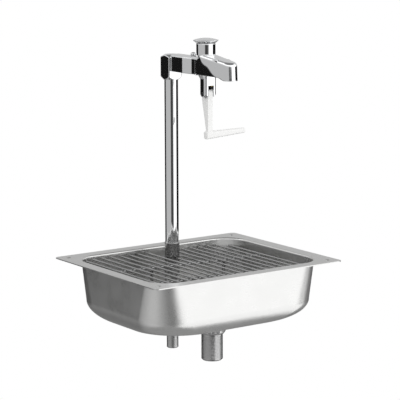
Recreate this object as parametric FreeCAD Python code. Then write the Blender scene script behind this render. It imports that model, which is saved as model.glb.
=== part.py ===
import FreeCAD, Part
import math
import os

from FreeCAD import Vector

# Glass filler on a drip pan: a post carries a spout whose lever, pushed back by a glass, lets water
# run into it over a sunk pan with a wire rack and a waste.
# Millimetres, Z up. The user stands on the -Y side. The origin is the centre of the pan's rim,
# on its top face, where the pan sits in the worktop.

# Driving dimensions: drip pan, pressed from sheet
rim_side_width = 16.2
rim_front_width = 16.5
rim_corner_radius = 6.0
sheet = 1.2
bowl_length = 247.6
bowl_width = 196.0
bowl_depth = 73.5
bowl_edge_radius = 23.5
bowl_corner_rim = 31.0
bowl_corner_wall = 46.0
bowl_corner_floor = 68.0
lip_radius = 2.4
rim_hole_radius = 2.25
rim_hole_inset = 13.5
rim_sink_radius = 3.4
rim_sink_depth = 0.5

# Driving dimensions: wire rack
rack_top = -5.6
rack_pitch = 13.84
rack_rod_radius = 1.2
rack_cross_radius = 2.0
rack_foot_inset = 9.5
rack_back_gap = 35.9
rack_weld = 0.3
rack_fall = 6.0
rack_side_gap = 3.5
rack_end_gap = 2.5
rack_post_gap = 3.0
rack_leg_radius = 2.0
foot_radius = 4.0
foot_height = 9.0
foot_sleeve = 6.0
foot_rounding = 1.0

# Driving dimensions: waste
waste_front_gap = 21.1
waste_tail_radius = 13.45
waste_neck_radius = 13.7
waste_bore_radius = 11.2
waste_tail_drop = 49.0
waste_tail_chamfer = 1.6
waste_flange_radius = 23.0
waste_flange_thickness = 2.0
waste_gasket_thickness = 1.5
waste_washer_thickness = 1.5
waste_washer_radius = 19.0
waste_nut_height = 12.0
neck_past_nut = 1.0
waste_nut_core_radius = 16.6
waste_nut_lug_radius = 19.2
waste_nut_lug_width = 4.0
waste_nut_lugs = 10
waste_nut_taper = 6.0
waste_flange_edge = 1.6
strainer_thickness = 1.2
strainer_seat_width = 2.6
strainer_sink = 0.4
strainer_hole_radius = 1.6
strainer_bridge_width = 4.0
strainer_bridge_depth = 8.0
strainer_screw_radius = 1.5
strainer_screw_length = 6.0
strainer_head_radius = 3.0
strainer_head_height = 1.2

# Driving dimensions: post and its foot
foot_wall_gap = 1.0
post_radius = 8.55
post_bore_radius = 6.9
post_height = 231.0
socket_radius = 9.45
socket_top = 13.0
socket_depth = 60.0
foot_flange_radius = 17.0
foot_flange_thickness = 4.0
shank_radius = 7.55
foot_neck_radius = 7.8
shank_bore_radius = 4.8
shank_drop = 51.8
foot_gasket_thickness = 1.5
gasket_inset = 0.6
foot_washer_radius = 16.5
foot_washer_thickness = 1.6
foot_nut_flats = 27.0
foot_nut_height = 8.0
foot_edge = 1.0

# Driving dimensions: elbow block on the post
elbow_width = 19.4
elbow_depth = 19.4
elbow_socket_depth = 10.6
elbow_height = 31.8
elbow_edge_bevel = 0.6
elbow_turned_bottom = 4.6
elbow_turned_top = 3.6
elbow_mouth_wall = 0.7
elbow_crown_radius = 7.55
elbow_way_radius = 4.4
seal_thickness = 1.2

# Driving dimensions: body casting with arm, tower and spout
valve_reach = 75.0
arm_centre_rise = 10.4
body_drop = 9.1
arm_height = 21.6
arm_rise = 1.0
arm_width = 15.0
arm_bevel = 2.4
waist_reach = 22.5
waist_width = 11.4
arm_straight_length = 25.7
body_width = 19.4
body_back_reach = 7.0
body_front_setback = 11.4
tower_radius = 11.7
tower_height = 38.4
spout_reach = 48.1
spout_tip_radius = 9.1
spout_lean = 1.8
spout_root_rise = 24.6
spout_tip_rise = 18.4
spout_edge_radius = 4.2
spout_back_room = 1.0
spout_shoulder_reach = 3.0
spout_heel_reach = 3.0
spout_heel_rise = 0.9
spout_toe_reach = 4.0
outlet_drop = 3.1
chamber_radius = 7.4
chamber_rise = 13.7
seat_bore_radius = 4.6
seat_lip = 1.0
inlet_bore_radius = 4.0
inlet_chamber_radius = 6.4
inlet_chamber_rise = 6.1
spout_bore_radius = 3.2
outlet_bore_radius = 6.6
outlet_bore_depth = 13.0
straightener_inset = 0.6
straightener_height = 5.9
straightener_hole_radius = 0.9

# Driving dimensions: cap, spring and stem in the tower
cap_radius = 15.4
cap_edge = 0.8
cap_edge_rounding = 0.3
cap_dome = 2.6
cap_dish = 2.6
cap_plug_radius = 8.4
cap_plug_length = 9.0
cap_seal_thickness = 0.6
spring_pocket_radius = 6.2
spring_pocket_depth = 7.0
spring_mean_radius = 4.9
spring_wire_radius = 0.55
spring_turns = 6
stem_radius = 2.5
stem_spigot_radius = 3.4
stem_spigot_length = 6.0
stem_collar_radius = 6.2
stem_collar_height = 2.2
stem_stud_radius = 1.5
stem_stud_length = 2.0
seat_washer_thickness = 2.2
button_clearance = 0.4
button_height = 3.0
button_rounding = 0.5
button_gap = 0.1
running_clearance = 0.05
seating_gap = 0.1

# Driving dimensions: yoke, pin and lever
yoke_offset = 4.3
yoke_width = 17.0
yoke_depth = 13.0
yoke_shoulder_height = 4.7
yoke_ear_drop = 5.0
yoke_edge_radius = 3.2
yoke_turned_bottom = 6.0
yoke_tip_radius = 4.4
yoke_neck_radius = 6.2
yoke_neck_length = 6.0
yoke_shoulder_width = 19.0
yoke_shoulder_depth = 17.4
yoke_shoulder_offset = 2.1
yoke_shoulder_corner = 5.0
stem_guide_radius = 4.6
slot_width = 7.6
slot_rise = 11.0
lever_width = 7.0
pivot_drop = 23.5
pin_radius = 1.6
pin_head_radius = 2.5
pin_head_height = 0.9
stem_seal_radius = 0.75
seal_ring_height = 1.4
lever_head_rise = 5.8
lever_head_back = 7.8
lever_head_front = 5.6
lever_head_rounding = 4.2
lever_head_back_drop = 12.8
lever_head_front_drop = 11.8
lever_length = 54.8
lever_waist_drop = 42.8
lever_waist_forward = 4.8
lever_waist_depth = 4.6
push_bar_forward = 2.1
push_bar_root_height = 9.6
push_bar_root_depth = 8.4
push_bar_tip_height = 6.4
push_bar_tip_depth = 6.0
push_bar_root_x = -5.6
push_bar_tip_x = 53.6
push_bar_rise = 6.9
push_bar_rounding = 2.6
push_bar_end_rounding = 1.56

# Driving dimensions: flow screw on the arm, and the union between elbow and arm
flow_screw_reach = 26.5
flow_head_radius = 3.2
flow_head_height = 2.6
flow_head_dome = 1.6
flow_shank_radius = 1.8
flow_slot_width = 0.9
flow_slot_depth = 1.2
flow_tip_height = 1.0
flow_seal_thickness = 0.8
union_radius = 5.6
union_bore_radius = 3.8
union_length = 22.0
union_seal_radius = 7.0

# Heights and places that follow from the sizes above
rim_length = bowl_length + 2.0 * rim_side_width
rim_width = bowl_width + 2.0 * rim_front_width
half_floor_length = bowl_length / 2.0 - bowl_edge_radius
half_floor_width = bowl_width / 2.0 - bowl_edge_radius
floor_under = -bowl_depth
floor_top = floor_under + sheet
wall_foot = floor_under + bowl_edge_radius
post_y = half_floor_width - foot_flange_radius - foot_wall_gap
waste_y = waste_flange_radius + waste_front_gap - half_floor_width
rack_cross_front = foot_radius + rack_foot_inset - half_floor_width
rack_cross_back = post_y - rack_back_gap
rack_rod_height = rack_top - rack_rod_radius
rack_cross_height = rack_rod_height - rack_rod_radius - rack_cross_radius + rack_weld
waste_end = floor_under - waste_tail_drop
shank_end = floor_under - shank_drop
foot_gasket_top = floor_top + foot_gasket_thickness
foot_flange_top = foot_gasket_top + foot_flange_thickness
elbow_bottom = post_height - elbow_socket_depth
elbow_top = elbow_bottom + elbow_height
elbow_front = post_y - elbow_depth / 2.0
arm_centre_height = post_height + arm_centre_rise
arm_bottom = arm_centre_height + arm_rise - arm_height / 2.0
arm_top = arm_bottom + arm_height
arm_straight_end = elbow_front - arm_straight_length
body_bottom = arm_centre_height - body_drop
valve_y = post_y - valve_reach
waist_y = valve_y + waist_reach
flow_screw_y = valve_y + flow_screw_reach
spout_tip_y = valve_y - spout_reach
body_back = valve_y + body_back_reach
body_front = spout_tip_y + body_front_setback
tower_top = body_bottom + tower_height
spout_root_height = body_bottom + spout_root_rise
spout_tip_height = body_bottom + spout_tip_rise
outlet_height = body_bottom - outlet_drop
chamber_floor = body_bottom + chamber_rise
inlet_chamber_floor = body_bottom + inlet_chamber_rise
union_back = post_y - elbow_way_radius
union_front = union_back - union_length
yoke_y = valve_y - yoke_offset
yoke_shoulder_y = valve_y - yoke_shoulder_offset
yoke_block_top = body_bottom - yoke_shoulder_height
pivot_height = body_bottom - pivot_drop
yoke_bottom = pivot_height - yoke_ear_drop
slot_top = pivot_height + slot_rise
lever_head_top = pivot_height + lever_head_rise
lever_bottom = pivot_height - lever_length
lever_waist_height = pivot_height - lever_waist_drop
lever_waist_front = yoke_y - lever_waist_forward
push_bar_y = yoke_y - push_bar_forward

os.makedirs("parts", exist_ok=True)


def cylinder(x, y, bottom, top, radius):
    """A round bar along Z."""
    return Part.makeCylinder(radius, top - bottom, Vector(x, y, bottom))


def tube(x, y, bottom, top, outer, inner):
    """A round tube along Z."""
    return cylinder(x, y, bottom, top, outer).cut(cylinder(x, y, bottom - 1.0, top + 1.0, inner))


def box(x0, x1, y0, y1, z0, z1):
    """A block between six planes."""
    return Part.makeBox(x1 - x0, y1 - y0, z1 - z0, Vector(x0, y0, z0))


def turned(x, y, profile):
    """A solid turned about the vertical line at x, y from its radius and height points."""
    points = [Vector(x + radius, y, height) for radius, height in profile]
    face = Part.Face(Part.makePolygon(points + points[:1]))
    return face.revolve(Vector(x, y, 0), Vector(0, 0, 1), 360)


def round_rectangle(length, width, radius, height, y=0.0):
    """A level wire: a rectangle centred at X 0 with round corners."""
    half_x = length / 2.0
    half_y = width / 2.0
    corner = min(radius, half_x - 0.5, half_y - 0.5)
    edges = []
    signs = ((1, 1), (-1, 1), (-1, -1), (1, -1))
    for index, (sx, sy) in enumerate(signs):
        centre = Vector(sx * (half_x - corner), y + sy * (half_y - corner), height)
        start = math.radians(90.0 * index)
        at = [centre + Vector(math.cos(start + t), math.sin(start + t), 0) * corner
              for t in (0.0, math.pi / 4.0, math.pi / 2.0)]
        edges.append(Part.Arc(*at).toShape())
        nx, ny = signs[(index + 1) % 4]
        following = Vector(nx * (half_x - corner), y + ny * (half_y - corner), height)
        turn = start + math.pi / 2.0
        reach = following + Vector(math.cos(turn), math.sin(turn), 0) * corner
        edges.append(Part.makeLine(at[2], reach))
    return Part.Wire(edges)


def prism(wire, height):
    """The wire's face raised by a height."""
    return Part.Face(wire).extrude(Vector(0, 0, height))


def polygon_prism(x, y, bottom, top, flats, sides):
    """A bar along Z with equal flat sides, flats apart."""
    radius = flats / 2.0 / math.cos(math.pi / sides)
    points = []
    for index in range(sides + 1):
        angle = 2.0 * math.pi * (index + 0.5) / sides
        points.append(Vector(x + radius * math.cos(angle), y + radius * math.sin(angle), bottom))
    return Part.Face(Part.makePolygon(points)).extrude(Vector(0, 0, top - bottom))


def finish(name, shape):
    """Writes one piece, or one group of like pieces, to its file."""
    solids = shape.Solids
    whole = solids[0] if len(solids) == 1 else Part.makeCompound(solids)
    whole.exportStep("parts/" + name + ".step")
    state = "closed" if all(solid.isValid() for solid in solids) else "BROKEN"
    print(name, len(solids), "solid", state, "volume", round(whole.Volume, 1))


# Drip pan

def bowl(skin):
    """The bowl as a solid plug, its faces drawn in by skin from the sheet's outer face."""
    length = bowl_length - 2.0 * skin
    width = bowl_width - 2.0 * skin
    bend = bowl_edge_radius - skin
    top = round_rectangle(length, width, bowl_corner_rim - skin, 0.0)
    foot = round_rectangle(length, width, bowl_corner_wall - skin, wall_foot)
    sections = [foot]
    steps = 6
    for index in range(1, steps + 1):
        turn = math.pi / 2.0 * index / steps
        inset = bend * (1.0 - math.cos(turn))
        growth = (bowl_corner_floor - bowl_corner_wall) * (1.0 - math.cos(turn))
        height = wall_foot - bend * math.sin(turn)
        corner = bowl_corner_wall - skin + growth
        sections.append(round_rectangle(length - 2 * inset, width - 2 * inset, corner, height))
    walls = Part.makeLoft([top, foot], True, True)
    base = Part.makeLoft(sections, True, False)
    return walls.fuse(base)


def lip_edges(shape, height):
    """The edges where the bowl opens into the rim, at one height."""
    found = []
    for edge in shape.Edges:
        bounds = edge.BoundBox
        level = abs(bounds.ZMin - height) < 0.01 and abs(bounds.ZMax - height) < 0.01
        inside = max(abs(bounds.XMin), abs(bounds.XMax)) < bowl_length / 2.0 + 0.1
        deep = max(abs(bounds.YMin), abs(bounds.YMax)) < bowl_width / 2.0 + 0.1
        outer = max(abs(bounds.XMin), abs(bounds.XMax)) > rim_hole_inset
        if level and inside and deep and outer:
            found.append(edge)
    return found


def drip_pan():
    """The pressed bowl with its flat rim, screw holes and two floor holes."""
    plate = prism(round_rectangle(rim_length, rim_width, rim_corner_radius, -sheet), sheet)
    pan = plate.fuse(bowl(0.0)).removeSplitter()
    pan = pan.makeFillet(lip_radius - sheet, lip_edges(pan, -sheet))
    pan = pan.cut(bowl(sheet))
    pan = pan.makeFillet(lip_radius, lip_edges(pan, 0.0))
    for sx in (-1, 1):
        for sy in (-1, 1):
            x = sx * (rim_length / 2.0 - rim_hole_inset)
            y = sy * (rim_width / 2.0 - rim_hole_inset)
            pan = pan.cut(cylinder(x, y, -sheet - 1.0, 1.0, rim_hole_radius))
            sink = Part.makeCone(rim_hole_radius, rim_sink_radius, rim_sink_depth,
                                 Vector(x, y, -rim_sink_depth))
            pan = pan.cut(sink)
    waste_hole = waste_neck_radius + seating_gap
    pan = pan.cut(cylinder(0, waste_y, floor_under - 1.0, floor_top + 1.0, waste_hole))
    shank_hole = foot_neck_radius + seating_gap
    return pan.cut(cylinder(0, post_y, floor_under - 1.0, floor_top + 1.0, shank_hole))


finish("drip_pan", drip_pan())


# Wire rack: rods welded over two cross rods, with legs under it and rubber feet on the legs

inner_half_length = bowl_length / 2.0 - sheet
inner_half_width = bowl_width / 2.0 - sheet
rack_half_span = inner_half_length - rack_side_gap
rack_slope = rack_fall / (2.0 * rack_half_span)
rack_depth_share = (rack_top - 2.0 * rack_rod_radius - rack_fall / 2.0) / wall_foot
corner_growth = (bowl_corner_wall - bowl_corner_rim) * rack_depth_share
inner_corner = bowl_corner_rim + corner_growth - sheet
floor_corner = min(bowl_corner_floor, half_floor_length - 0.5, half_floor_width - 0.5)
floor_corner_x = half_floor_length - floor_corner
floor_corner_y = half_floor_width - floor_corner
foot_past_corner = max(abs(rack_cross_front) - floor_corner_y, 0.0)
foot_reach = math.sqrt(max((floor_corner - foot_radius) ** 2 - foot_past_corner ** 2, 0.0))
leg_column = rack_pitch * math.floor((floor_corner_x + foot_reach) / rack_pitch)
leg_places = [(sx * leg_column, y) for sx in (-1, 1) for y in (rack_cross_front, rack_cross_back)]


def rod_reach(x):
    """How far a rod at x may run each way along Y before the bowl's round corner."""
    reach = inner_half_width - rack_end_gap
    past = abs(x) + rack_rod_radius - (inner_half_length - inner_corner)
    if past > 0:
        corner = math.sqrt(max(inner_corner ** 2 - past ** 2, 0.0))
        reach = inner_half_width - inner_corner + corner - rack_end_gap
    return reach


def wire_rod(start, end, radius):
    """A straight wire between two points with slightly rounded ends."""
    run = end - start
    rod = Part.makeCylinder(radius, run.Length, start, run)
    rims = [edge for edge in rod.Edges if isinstance(edge.Curve, Part.Circle)]
    return rod.makeFillet(radius * 0.4, rims)


def cross_point(x, y):
    """The point of a cross rod's centre line at x; the rack lies a little lower on the +X side."""
    return Vector(x, y, rack_cross_height - rack_slope * x)


def rack_cross_rods():
    """The two rods along X that carry the others."""
    return Part.makeCompound([wire_rod(cross_point(-rack_half_span, y),
                                       cross_point(rack_half_span, y), rack_cross_radius)
                              for y in (rack_cross_front, rack_cross_back)])


def rack_rods():
    """The rods along Y, notched where they are welded down; one stops in front of the post."""
    columns = math.floor((rack_half_span - 2.0 * rack_rod_radius) / rack_pitch)
    carriers = rack_cross_rods()
    rods = []
    for index in range(-columns, columns + 1):
        x = index * rack_pitch
        height = rack_rod_height - rack_slope * x
        reach = rod_reach(x)
        back = reach
        if abs(x) < socket_radius + rack_rod_radius + rack_post_gap:
            back = post_y - socket_radius - rack_post_gap
        rod = wire_rod(Vector(x, -reach, height), Vector(x, back, height), rack_rod_radius)
        rods.append(rod.cut(carriers))
    return Part.makeCompound(rods)


def rack_legs():
    """Four wire legs under the cross rods."""
    legs = []
    for x, y in leg_places:
        middle = cross_point(x, y)
        leg = cylinder(x, y, floor_top + foot_height - foot_sleeve, middle.z, rack_leg_radius)
        start = cross_point(x - 2.0 * rack_leg_radius, y)
        along = cross_point(x + 2.0 * rack_leg_radius, y) - start
        saddle = Part.makeCylinder(rack_cross_radius, along.Length, start, along)
        legs.append(leg.cut(saddle))
    return Part.makeCompound(legs)


def rack_feet():
    """Four rubber feet, pushed onto the legs, that stand on the pan's floor."""
    feet = []
    for x, y in leg_places:
        foot = cylinder(x, y, floor_top, floor_top + foot_height, foot_radius)
        rims = [edge for edge in foot.Edges if isinstance(edge.Curve, Part.Circle)]
        foot = foot.makeFillet(foot_rounding, rims)
        hole = cylinder(x, y, floor_top + foot_height - foot_sleeve, floor_top + foot_height + 1.0,
                        rack_leg_radius)
        feet.append(foot.cut(hole))
    return Part.makeCompound(feet)


finish("rack_rods", rack_rods())
finish("rack_cross_rods", rack_cross_rods())
finish("rack_legs", rack_legs())
finish("rack_feet", rack_feet())


# Waste: a flanged tube through the floor, its strainer, gaskets and locknut

waste_flange_bottom = floor_top + waste_gasket_thickness
waste_flange_top = waste_flange_bottom + waste_flange_thickness
strainer_top = waste_flange_top - strainer_sink
strainer_bottom = strainer_top - strainer_thickness
strainer_radius = waste_bore_radius + strainer_seat_width
waste_washer_bottom = floor_under - waste_gasket_thickness - waste_washer_thickness
waste_nut_bottom = waste_washer_bottom - waste_nut_height
waste_neck_bottom = waste_nut_bottom - neck_past_nut
waste_fit = waste_neck_radius + running_clearance


def waste_body():
    """The turned and threaded tail with its flange, strainer seat and cross bridge."""
    profile = [(waste_bore_radius, waste_end),
               (waste_tail_radius - waste_tail_chamfer, waste_end),
               (waste_tail_radius, waste_end + waste_tail_chamfer),
               (waste_tail_radius, waste_neck_bottom),
               (waste_neck_radius, waste_neck_bottom + waste_neck_radius - waste_tail_radius),
               (waste_neck_radius, waste_flange_bottom),
               (waste_flange_radius, waste_flange_bottom),
               (waste_flange_radius, waste_flange_bottom + waste_flange_edge / 2.0),
               (waste_flange_radius - waste_flange_edge, waste_flange_top),
               (strainer_radius + seating_gap, waste_flange_top),
               (strainer_radius + seating_gap, strainer_bottom),
               (waste_bore_radius, strainer_bottom)]
    body = turned(0, waste_y, profile)
    half_long = (waste_bore_radius + waste_tail_radius) / 2.0
    half_wide = strainer_bridge_width / 2.0
    bridge_bottom = strainer_bottom - strainer_bridge_depth
    bridge = box(-half_long, half_long, waste_y - half_wide, waste_y + half_wide, bridge_bottom,
                 strainer_bottom)
    tapped = cylinder(0, waste_y, bridge_bottom - 1.0, strainer_bottom + 1.0, strainer_screw_radius)
    return body.fuse(bridge).cut(tapped)


def waste_strainer():
    """A round perforated plate with rings of holes."""
    plate = cylinder(0, waste_y, strainer_bottom, strainer_top, strainer_radius)
    holes = [cylinder(0, waste_y, strainer_bottom - 1.0, strainer_top + 1.0,
                      strainer_screw_radius + seating_gap)]
    ring_step = 3.2 * strainer_hole_radius
    rings = math.floor((waste_bore_radius - strainer_hole_radius) / ring_step)
    for ring in range(1, rings + 1):
        for index in range(6 * ring):
            angle = 2.0 * math.pi * index / (6 * ring)
            x = ring * ring_step * math.cos(angle)
            y = waste_y + ring * ring_step * math.sin(angle)
            holes.append(cylinder(x, y, strainer_bottom - 1.0, strainer_top + 1.0,
                                  strainer_hole_radius))
    return plate.cut(Part.makeCompound(holes))


def strainer_screw():
    """The slotted screw that holds the strainer to the bridge."""
    shank = cylinder(0, waste_y, strainer_bottom - strainer_screw_length, strainer_top,
                     strainer_screw_radius)
    head = Part.makeCone(strainer_head_radius, strainer_screw_radius, strainer_head_height,
                         Vector(0, waste_y, strainer_top))
    slot_wide = strainer_head_height / 3.0
    slot = box(-strainer_head_radius, strainer_head_radius, waste_y - slot_wide,
               waste_y + slot_wide, strainer_top + strainer_head_height / 2.0,
               strainer_top + 2.0 * strainer_head_height)
    return shank.fuse(head).cut(slot)


def waste_locknut():
    """A lugged ring on the tail that draws the flange down, tapered below."""
    bottom = waste_nut_bottom
    ring = cylinder(0, waste_y, bottom, waste_washer_bottom, waste_nut_core_radius)
    lugs = []
    root = (waste_nut_core_radius + waste_tail_radius) / 2.0
    half_wide = waste_nut_lug_width / 2.0
    for index in range(waste_nut_lugs):
        lug = box(root, waste_nut_lug_radius, waste_y - half_wide, waste_y + half_wide, bottom,
                  waste_washer_bottom)
        lug.rotate(Vector(0, waste_y, 0), Vector(0, 0, 1), 360.0 * (index + 0.25) / waste_nut_lugs)
        lugs.append(lug)
    nut = ring.multiFuse(lugs)
    taper = turned(0, waste_y, [(0, bottom), (root, bottom),
                                (waste_nut_lug_radius, bottom + waste_nut_taper),
                                (waste_nut_lug_radius, waste_washer_bottom),
                                (0, waste_washer_bottom)])
    bore = cylinder(0, waste_y, bottom - 1.0, waste_washer_bottom + 1.0, waste_fit)
    return nut.common(taper).cut(bore)


finish("waste_body", waste_body())
finish("waste_strainer", waste_strainer())
finish("strainer_screw", strainer_screw())
finish("waste_gasket", tube(0, waste_y, floor_top, waste_flange_bottom,
                            waste_flange_radius - gasket_inset, waste_fit))
finish("waste_under_gasket", tube(0, waste_y, floor_under - waste_gasket_thickness, floor_under,
                                  waste_washer_radius - gasket_inset, waste_fit))
finish("waste_washer", tube(0, waste_y, waste_washer_bottom, floor_under - waste_gasket_thickness,
                            waste_washer_radius, waste_fit))
finish("waste_locknut", waste_locknut())


# Post foot: a turned fitting whose shank goes through the floor, with its gaskets and locknut

post_bottom = socket_top - socket_depth
foot_fit = foot_neck_radius + running_clearance
foot_washer_bottom = floor_under - foot_gasket_thickness - foot_washer_thickness
foot_nut_bottom = foot_washer_bottom - foot_nut_height
foot_neck_bottom = foot_nut_bottom - neck_past_nut


def post_foot():
    """The fitting: threaded shank below, flange on the floor, socket for the post above."""
    socket_edge = (socket_radius - post_radius) / 2.0
    profile = [(shank_bore_radius, shank_end),
               (shank_radius - foot_edge, shank_end),
               (shank_radius, shank_end + foot_edge),
               (shank_radius, foot_neck_bottom),
               (foot_neck_radius, foot_neck_bottom + foot_neck_radius - shank_radius),
               (foot_neck_radius, foot_gasket_top),
               (foot_flange_radius, foot_gasket_top),
               (foot_flange_radius, foot_flange_top - foot_edge),
               (foot_flange_radius - foot_edge, foot_flange_top),
               (socket_radius, foot_flange_top),
               (socket_radius, socket_top - socket_edge),
               (socket_radius - socket_edge, socket_top),
               (post_radius, socket_top),
               (post_radius, post_bottom),
               (shank_bore_radius, post_bottom)]
    return turned(0, post_y, profile)


def foot_locknut():
    """The hexagon nut under the pan."""
    nut = polygon_prism(0, post_y, foot_nut_bottom, foot_washer_bottom, foot_nut_flats, 6)
    return nut.cut(cylinder(0, post_y, foot_nut_bottom - 1.0, foot_washer_bottom + 1.0, foot_fit))


finish("post_foot", post_foot())
finish("foot_gasket", tube(0, post_y, floor_top, foot_gasket_top, foot_flange_radius - gasket_inset,
                           foot_fit))
finish("foot_under_gasket", tube(0, post_y, floor_under - foot_gasket_thickness, floor_under,
                                 foot_washer_radius - gasket_inset, foot_fit))
finish("foot_washer", tube(0, post_y, foot_washer_bottom, floor_under - foot_gasket_thickness,
                           foot_washer_radius, foot_fit))
finish("foot_locknut", foot_locknut())
finish("supply_post", tube(0, post_y, post_bottom, post_height, post_radius, post_bore_radius))
finish("post_seal", tube(0, post_y, post_height, post_height + seal_thickness, post_radius,
                         post_bore_radius))


# Elbow block: square, turned down at both ends, bored for the post and for the union

def elbow_block():
    """The block on the post's top, with its water way turning forward."""
    half_corner = math.hypot(elbow_width, elbow_depth) / 2.0
    block = box(-elbow_width / 2.0, elbow_width / 2.0, elbow_front, elbow_front + elbow_depth,
                elbow_bottom, elbow_top)
    upright = [edge for edge in block.Edges
               if abs(edge.BoundBox.ZMax - edge.BoundBox.ZMin) > elbow_top - elbow_bottom - 1.0]
    block = block.makeChamfer(elbow_edge_bevel, upright)
    envelope = turned(0, post_y, [(0, elbow_bottom), (post_radius + elbow_mouth_wall, elbow_bottom),
                                  (half_corner, elbow_bottom + elbow_turned_bottom),
                                  (half_corner, elbow_top - elbow_turned_top),
                                  (elbow_crown_radius, elbow_top), (0, elbow_top)])
    block = block.common(envelope)
    socket_end = post_height + seal_thickness
    block = block.cut(cylinder(0, post_y, elbow_bottom - 1.0, socket_end, post_radius))
    block = block.cut(cylinder(0, post_y, socket_end - 1.0, arm_centre_height + elbow_way_radius,
                               elbow_way_radius))
    block = block.cut(bar_along_y(elbow_front - 1.0, union_back, union_radius))
    return block.cut(bar_along_y(union_back - 1.0, post_y, union_bore_radius))


def bar_along_y(start, end, radius):
    """A round bar along Y at the height of the arm's water way."""
    return Part.makeCylinder(radius, end - start, Vector(0, start, arm_centre_height),
                             Vector(0, 1, 0))


def tube_along_y(start, end, outer, inner):
    """A round tube along Y at the height of the arm's water way."""
    return bar_along_y(start, end, outer).cut(bar_along_y(start - 1.0, end + 1.0, inner))


finish("elbow_block", elbow_block())
finish("union_nipple", tube_along_y(union_front, union_back, union_radius, union_bore_radius))
finish("union_seal", tube_along_y(elbow_front - seal_thickness, elbow_front, union_seal_radius,
                                  union_radius + running_clearance))


# Body casting

def arm_half_plan():
    """The outline of the arm and the lower body on the +X side, seen from above."""
    half_arm = arm_width / 2.0
    half_waist = waist_width / 2.0
    half_body = body_width / 2.0
    start = Vector(half_arm, elbow_front, arm_bottom)
    shoulder = Vector(half_arm, arm_straight_end, arm_bottom)
    waist = Vector(half_waist, waist_y, arm_bottom)
    flare = Vector(half_waist * 0.8 + half_body * 0.2, (waist_y + body_back) / 2.0 + 1.0, arm_bottom)
    flank = Vector(half_body, body_back, arm_bottom)
    front = Vector(half_body, body_front, arm_bottom)
    return Part.Wire([Part.makeLine(start, shoulder),
                      Part.makeLine(shoulder, waist),
                      Part.Arc(waist, flare, flank).toShape(),
                      Part.makeLine(flank, front),
                      Part.makeLine(front, Vector(0, body_front, arm_bottom)),
                      Part.makeLine(Vector(0, body_front, arm_bottom),
                                    Vector(0, elbow_front, arm_bottom)),
                      Part.makeLine(Vector(0, elbow_front, arm_bottom), start)])


def arm_solid():
    """The arm and lower body as one bar with bevelled top edges."""
    bar = prism(arm_half_plan(), arm_top - arm_bottom)
    slanted = []
    for edge in bar.Edges:
        bounds = edge.BoundBox
        high = bounds.ZMin > arm_top - 0.01
        along = bounds.YMax - bounds.YMin > 1.0 and bounds.XMax > 1.0
        if high and along and bounds.YMin > body_back - 0.5:
            slanted.append(edge)
    bar = bar.makeChamfer(arm_bevel, slanted)
    other = bar.mirror(Vector(0, 0, 0), Vector(1, 0, 0))
    under = box(-tower_radius, tower_radius, body_front - 1.0, body_back, arm_bottom - 1.0,
                body_bottom)
    return bar.fuse(other).removeSplitter().cut(under)


def spout_column():
    """The spout as a tapering bar with a round nose and rounded top, sloping and leaning."""
    low = outlet_height - spout_tip_radius
    swing = math.asin((tower_radius - spout_tip_radius) / spout_reach)
    across = math.cos(swing)
    along = math.sin(swing)

    def tangent(centre_y, radius, side):
        return Vector(side * across * radius, centre_y - along * radius, low)

    left_root = tangent(valve_y, tower_radius, -1)
    right_root = tangent(valve_y, tower_radius, 1)
    left_tip = tangent(spout_tip_y, spout_tip_radius, -1)
    right_tip = tangent(spout_tip_y, spout_tip_radius, 1)
    back = Vector(0, valve_y + tower_radius, low)
    nose = Vector(0, spout_tip_y - spout_tip_radius, low)
    plan = Part.Wire([Part.Arc(right_root, back, left_root).toShape(),
                      Part.makeLine(left_root, left_tip),
                      Part.Arc(left_tip, nose, right_tip).toShape(),
                      Part.makeLine(right_tip, right_root)])
    column = prism(plan, spout_root_height - low)
    rims = [edge for edge in column.Edges if edge.BoundBox.ZMin > spout_root_height - 0.01]
    column = column.makeFillet(spout_edge_radius, rims)
    root_y = valve_y - tower_radius
    slope = (spout_root_height - spout_tip_height) / (root_y - spout_tip_y + spout_tip_radius)
    lean = spout_lean / (spout_root_height - outlet_height)
    shear = FreeCAD.Matrix()
    shear.A23 = lean
    shear.A24 = -lean * spout_root_height
    shear.A32 = slope
    shear.A34 = -slope * root_y
    return column.transformGeometry(shear)


def spout_side():
    """The spout's side view above the swept line that its flank stands proud of."""
    back = valve_y + tower_radius + spout_back_room
    front = spout_tip_y - 2.0 * spout_tip_radius
    drop = spout_root_height - body_bottom
    reach = valve_y - body_front

    def at(share, rise):
        return Vector(0, valve_y - share * reach, body_bottom + rise * drop)

    shoulder = Vector(0, valve_y + spout_shoulder_reach, spout_root_height)
    heel = Vector(0, spout_tip_y + spout_heel_reach, outlet_height + spout_heel_rise)
    toe = Vector(0, spout_tip_y - spout_toe_reach, outlet_height)
    sweep = Part.BSplineCurve()
    sweep.interpolate([shoulder, at(0.06, 0.90), at(0.13, 0.745), at(0.26, 0.57), at(0.42, 0.48),
                       at(0.52, 0.39), at(0.62, 0.26), at(0.77, 0.105), at(0.92, 0.02),
                       at(1.06, -0.01), heel, toe])
    corners = [toe, Vector(0, front, outlet_height), Vector(0, front, tower_top),
               Vector(0, back, tower_top), Vector(0, back, spout_root_height), shoulder]
    edges = [sweep.toShape()]
    edges += [Part.makeLine(corner, after) for corner, after in zip(corners, corners[1:])]
    face = Part.Face(Part.Wire(edges))
    face.translate(Vector(-2.0 * tower_radius, 0, 0))
    return face.extrude(Vector(4.0 * tower_radius, 0, 0))


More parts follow.
